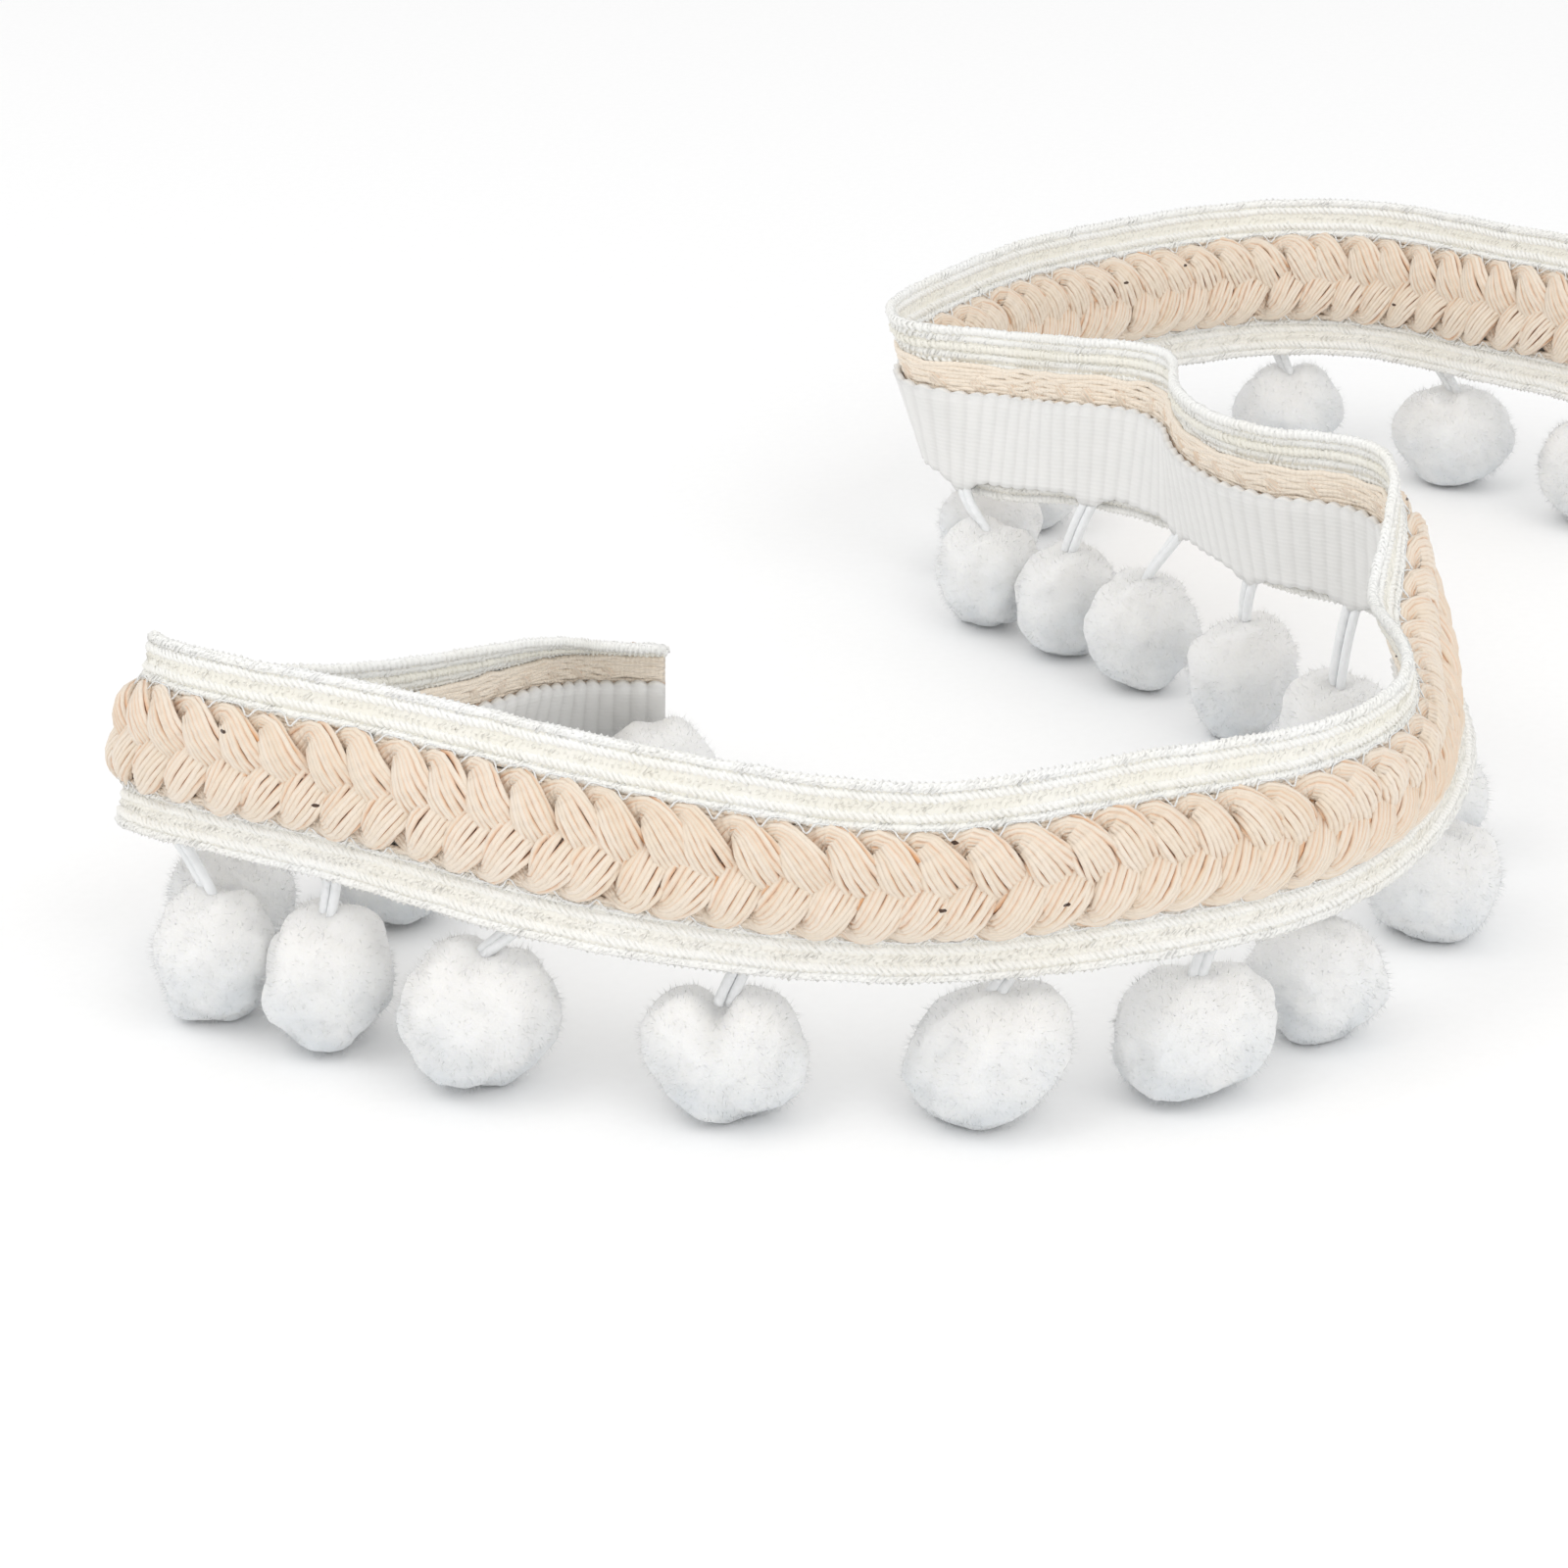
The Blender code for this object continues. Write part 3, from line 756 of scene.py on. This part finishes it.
def makePile(look):
    # Cut acrylic pile, fluffed and trimmed to a ball: light sinks in and comes out again, so its
    # shades are soft
    material, tree, shader = newMaterial(
        "cut white acrylic pile", Roughness=0.95, Sheen_Weight=0.5, Sheen_Roughness=0.5,
        Subsurface_Weight=0.5, Subsurface_Radius=(1.0, 1.0, 1.1), Subsurface_Scale=2.0 * mm,
    )
    place = addNode(tree, "ShaderNodeTexCoord").outputs["Object"]
    tuft = addNode(
        tree, "ShaderNodeTexNoise",
        {"Vector": place, "Scale": look["tufts"] / mm, "Detail": 5.0, "Roughness": 0.65},
    )
    clump = addNode(
        tree, "ShaderNodeTexNoise", {"Vector": place, "Scale": look["patches"] / mm, "Detail": 3.0},
    )
    # painted shade: cooler and greyer towards the foot, unevenly from clump to clump
    rise = addNode(tree, "ShaderNodeSeparateXYZ", {"Vector": place}).outputs["Z"]
    foot = addNode(
        tree, "ShaderNodeMapRange",
        {"Value": rise, "From Max": look["height"] * mm, "To Min": 1.2, "To Max": -0.2},
    )
    uneven = addNode(
        tree, "ShaderNodeMath", {0: foot.outputs["Result"], 1: clump.outputs["Fac"]},
        operation="MULTIPLY",
    )
    tone = addNode(
        tree, "ShaderNodeMath", {0: uneven.outputs[0], 1: 1.6}, operation="MULTIPLY", use_clamp=True,
    )
    colour = addNode(
        tree, "ShaderNodeMix",
        {"Factor": tone.outputs[0], "A": linear(look["pale"]), "B": linear(look["cool"])},
        data_type="RGBA",
    )
    tree.links.new(colour.outputs["Result"], shader.inputs["Base Color"])
    bump = addNode(
        tree, "ShaderNodeBump", {"Height": tuft.outputs["Fac"], "Distance": 0.5 * mm, "Strength": 0.5},
    )
    tree.links.new(bump.outputs["Normal"], shader.inputs["Normal"])
    return material


def cloudTexture(name, size):
    texture = bpy.data.textures.new(name, "CLOUDS")
    texture.noise_scale = size * mm
    texture.noise_depth = 1
    texture.noise_basis = "IMPROVED_PERLIN"
    return texture


def pileFibres():
    # short needles standing out of the ball in slightly different ways, as cut pile does
    tree = bpy.data.node_groups.new("pile fibres", "GeometryNodeTree")
    tree.interface.new_socket(name="Geometry", in_out="INPUT", socket_type="NodeSocketGeometry")
    tree.interface.new_socket(name="Geometry", in_out="OUTPUT", socket_type="NodeSocketGeometry")
    ball = addNode(tree, "NodeGroupInput").outputs[0]
    spots = addNode(
        tree, "GeometryNodeDistributePointsOnFaces",
        {"Mesh": ball, "Density": pile["fibres"] / mm**2, "Seed": 4},
    )
    needle = addNode(
        tree, "GeometryNodeMeshCone",
        {"Vertices": 3, "Radius Bottom": pile["fibreRadius"] * mm, "Depth": pile["fibreLength"] * mm},
    )
    swing = addNode(
        tree, "FunctionNodeRandomValue", {0: (-0.6, -0.6, -3.0), 1: (0.6, 0.6, 3.0)},
        data_type="FLOAT_VECTOR",
    )
    size = addNode(tree, "FunctionNodeRandomValue", {2: 0.5, 3: 1.1, "Seed": 7}, data_type="FLOAT")
    turned = addNode(
        tree, "FunctionNodeRotateRotation", {0: spots.outputs["Rotation"], 1: swing.outputs[0]},
        rotation_space="LOCAL",
    )
    placed = addNode(
        tree, "GeometryNodeInstanceOnPoints",
        {
            "Points": spots.outputs["Points"], "Instance": needle.outputs["Mesh"],
            "Rotation": turned.outputs[0], "Scale": size.outputs[1],
        },
    )
    real = addNode(tree, "GeometryNodeRealizeInstances", {"Geometry": placed.outputs[0]})
    both = addNode(tree, "GeometryNodeJoinGeometry", {0: real.outputs[0]})
    tree.links.new(ball, both.inputs[0])
    out = addNode(tree, "NodeGroupOutput")
    tree.links.new(both.outputs[0], out.inputs[0])
    return tree


def makePompom(number, row, material, textures, fibres):
    # returns where the cord is tied inside the pompom
    _, stand, out, wide, deep, tall = row
    hem, along, _, _, _ = (part[0] for part in trimFrame(np.array([stand])))
    middle = hem + np.cross(upright, along) * out
    middle[2] = tall / 2 - pile["flat"]
    turn = math.atan2(along[1], along[0])
    push, cleft = pile["shapes"].get(number, pile["otherShapes"])
    bpy.ops.object.select_all(action="DESELECT")
    bpy.ops.mesh.primitive_ico_sphere_add(
        subdivisions=5, radius=0.5 * mm, location=middle * mm, rotation=(0, 0, turn),
    )
    ball = bpy.context.object
    ball.name = f"pile_pompom_{number:02}"
    # a little smaller than its size, since tufts and fibres stand out of it
    ball.scale = (wide - 0.2, deep - 0.4, tall - 0.2)
    bpy.ops.object.transform_apply(location=True, rotation=True, scale=True)
    for texture, strength in textures:
        applied(
            ball, "DISPLACE", texture=texture, strength=strength * mm, mid_level=0.5,
            texture_coords="LOCAL",
        )
    points = readPoints(ball) / mm - middle
    across = points @ along
    lift = np.clip(points[:, 2] / (tall / 2), -1, 1)
    # the cleft runs down from the cord, across the hem
    points[:, 2] -= cleft * np.exp(-((across / 1.5) ** 2)) * np.clip(lift, 0, 1) ** 1.2
    points += along * (push * points[:, 2])[:, None]
    points += middle
    points[:, 2] = np.maximum(points[:, 2], 0)
    writePoints(ball, points * mm)
    applied(ball, "NODES", node_group=fibres)
    points = readPoints(ball)
    points[:, 2] = np.maximum(points[:, 2], 0)
    writePoints(ball, points)
    finishPiece(ball, material, [f"pompom_{number:02}"])
    return middle + upright * (tall / 2 - pile["tieDepth"])


cords = {
    "strandRadius": 0.52, "apart": 0.56, "sections": 16,
    "sewnRise": 2.6, "sewnRear": -0.15,  # where it leaves the tape
    "edgeRise": 0.3, "edgeRear": 1.95,  # where it goes over the tape's lower edge
    "pale": "#F8F9FA", "cool": "#E9EBEC", "patches": 0.5, "twistsAlong": 7,
}


def makeCords(number, sewn, tie, material):
    # the doubled cord: up the tape's back, over its lower edge, and down into the pompom's cleft
    hem, along, up, rear, _ = (part[0] for part in trimFrame(np.array([sewn])))
    start = hem + up * cords["sewnRise"] + rear * cords["sewnRear"]
    over = hem + up * cords["edgeRise"] + rear * cords["edgeRear"]
    above = tie * 0.75 + over * 0.25 + upright * 1.2
    length = np.linalg.norm(over - start) + np.linalg.norm(tie - over)
    slantwise = np.cross(unit((tie - start)[None])[0], along)

    def path(run, strand):
        t = (run / length)[:, None]
        left = 1 - t
        curve = start * left**3 + over * 3 * t * left**2 + above * 3 * t**2 * left + tie * t**3
        angle = 0.5 * math.sin(2.1 * number) + 0.6 * t  # each pair starts turned by its own amount
        across = along * np.cos(angle) + slantwise * np.sin(angle) * 0.5
        return curve + across * (2 * strand - 1)[:, None] * cords["apart"]

    pair = addThreads(
        f"doubled_cord_{number:02}", length, 2, threadSpacing, sides=8, sections=cords["sections"],
    )
    bendThreads(pair, threadSpacing, path, steady(along), cords["strandRadius"])
    finishPiece(pair, material, [f"pompom_cord_{number:02}"])


cottonYarn = makeCotton("unbleached plied cotton yarn", plait)
for strand in range(3):
    makePlaitStrand(strand, cottonYarn)
makeGimp("upper", makeRayon("ivory rayon gimp", gimps["upper"]))
makeGimp("lower", makeRayon("cream rayon gimp", gimps["lower"]))
tapeSheet = makeTape(makeTapeCotton(tape))
makeStitches(makeCordCotton("white sewing thread", sewing))
makeEdgeYarns(cottonYarn)
makeBacking(makeCotton("cotton backing yarn painted paler", {**plait, **backing}))
print("heading made")

whitePile = makePile(pile)
whiteCord = makeCordCotton("white two-ply cotton cord", cords)
pileTextures = [
    (cloudTexture("lumps", pile["lumpSize"]), pile["lump"]),
    (cloudTexture("tufts", pile["tuftSize"]), pile["tuft"]),
]
fibreNodes = pileFibres()
for number, row in enumerate(pompoms, start=1):
    tie = makePompom(number, row, whitePile, pileTextures, fibreNodes)
    makeCords(number, row[0], tie, whiteCord)
print("pompoms and cords made")

studio = {
    "floor": "#FCFCFC", "floorGrain": "#F8F8F8", "patches": 0.9, "sky": "#FFFFFF", "skyStrength": 0.88,
    # softboxes: watts, width, place and what they point at, in metres
    "softboxes": {
        "key softbox": (1.2, 0.5, (-0.45, -0.25, 0.75), (0, 0, 0)),
        "right softbox": (1.3, 0.6, (0.45, -0.5, 0.8), (0, 0, 0)),
        "front softbox": (1.3, 0.9, (0.1, -1.2, 0.35), (0, 0, 0.02)),
    },
    "lens": 96.75, "cameraPlace": (-0.02169, -0.43567, 0.19106), "cameraTilt": 65.5,
}

bpy.ops.object.select_all(action="DESELECT")
bpy.ops.mesh.primitive_plane_add(size=6, location=(0, 0, -0.2 * mm))
floor = bpy.context.object
floor.name = "studio_floor"
# Matt studio paper: nearly white, with a grain that hardly shows
floorPaper, floorTree, floorShader = newMaterial("pale studio paper", Roughness=0.95)
floorPlace = addNode(floorTree, "ShaderNodeTexCoord").outputs["Object"]
grain = addNode(floorTree, "ShaderNodeTexNoise", {"Vector": floorPlace, "Scale": studio["patches"] / mm})
paperColour = addNode(
    floorTree, "ShaderNodeMix",
    {"Factor": grain.outputs["Fac"], "A": linear(studio["floor"]), "B": linear(studio["floorGrain"])},
    data_type="RGBA",
)
floorTree.links.new(paperColour.outputs["Result"], floorShader.inputs["Base Color"])
floor.data.materials.append(floorPaper)

world = bpy.data.worlds.new("soft white studio")
bpy.context.scene.world = world
world.use_nodes = True
skyInputs = world.node_tree.nodes["Background"].inputs
skyInputs["Color"].default_value = linear(studio["sky"])
skyInputs["Strength"].default_value = studio["skyStrength"]


def addSoftbox(name, watts, width, place, aim):
    lamp = bpy.data.lights.new(name, "AREA")
    lamp.energy = watts
    lamp.size = width
    box = bpy.data.objects.new(name, lamp)
    bpy.context.scene.collection.objects.link(box)
    box.location = place
    way = np.array(aim) - np.array(place)
    tilt = math.atan2(math.hypot(way[0], way[1]), -way[2])
    box.rotation_euler = (tilt, 0, math.atan2(way[0], -way[1]) + math.pi)


for name, settings in studio["softboxes"].items():
    addSoftbox(name, *settings)

camera = bpy.data.objects.new("studio_camera", bpy.data.cameras.new("studio_camera"))
bpy.context.scene.collection.objects.link(camera)
camera.data.lens = studio["lens"]
camera.data.sensor_width = 36
camera.data.clip_start = 0.01
camera.location = studio["cameraPlace"]
camera.rotation_euler = (math.radians(studio["cameraTilt"]), 0, 0)
bpy.context.scene.camera = camera
bpy.context.scene.view_settings.view_transform = "Standard"
print("floor, light and camera set")
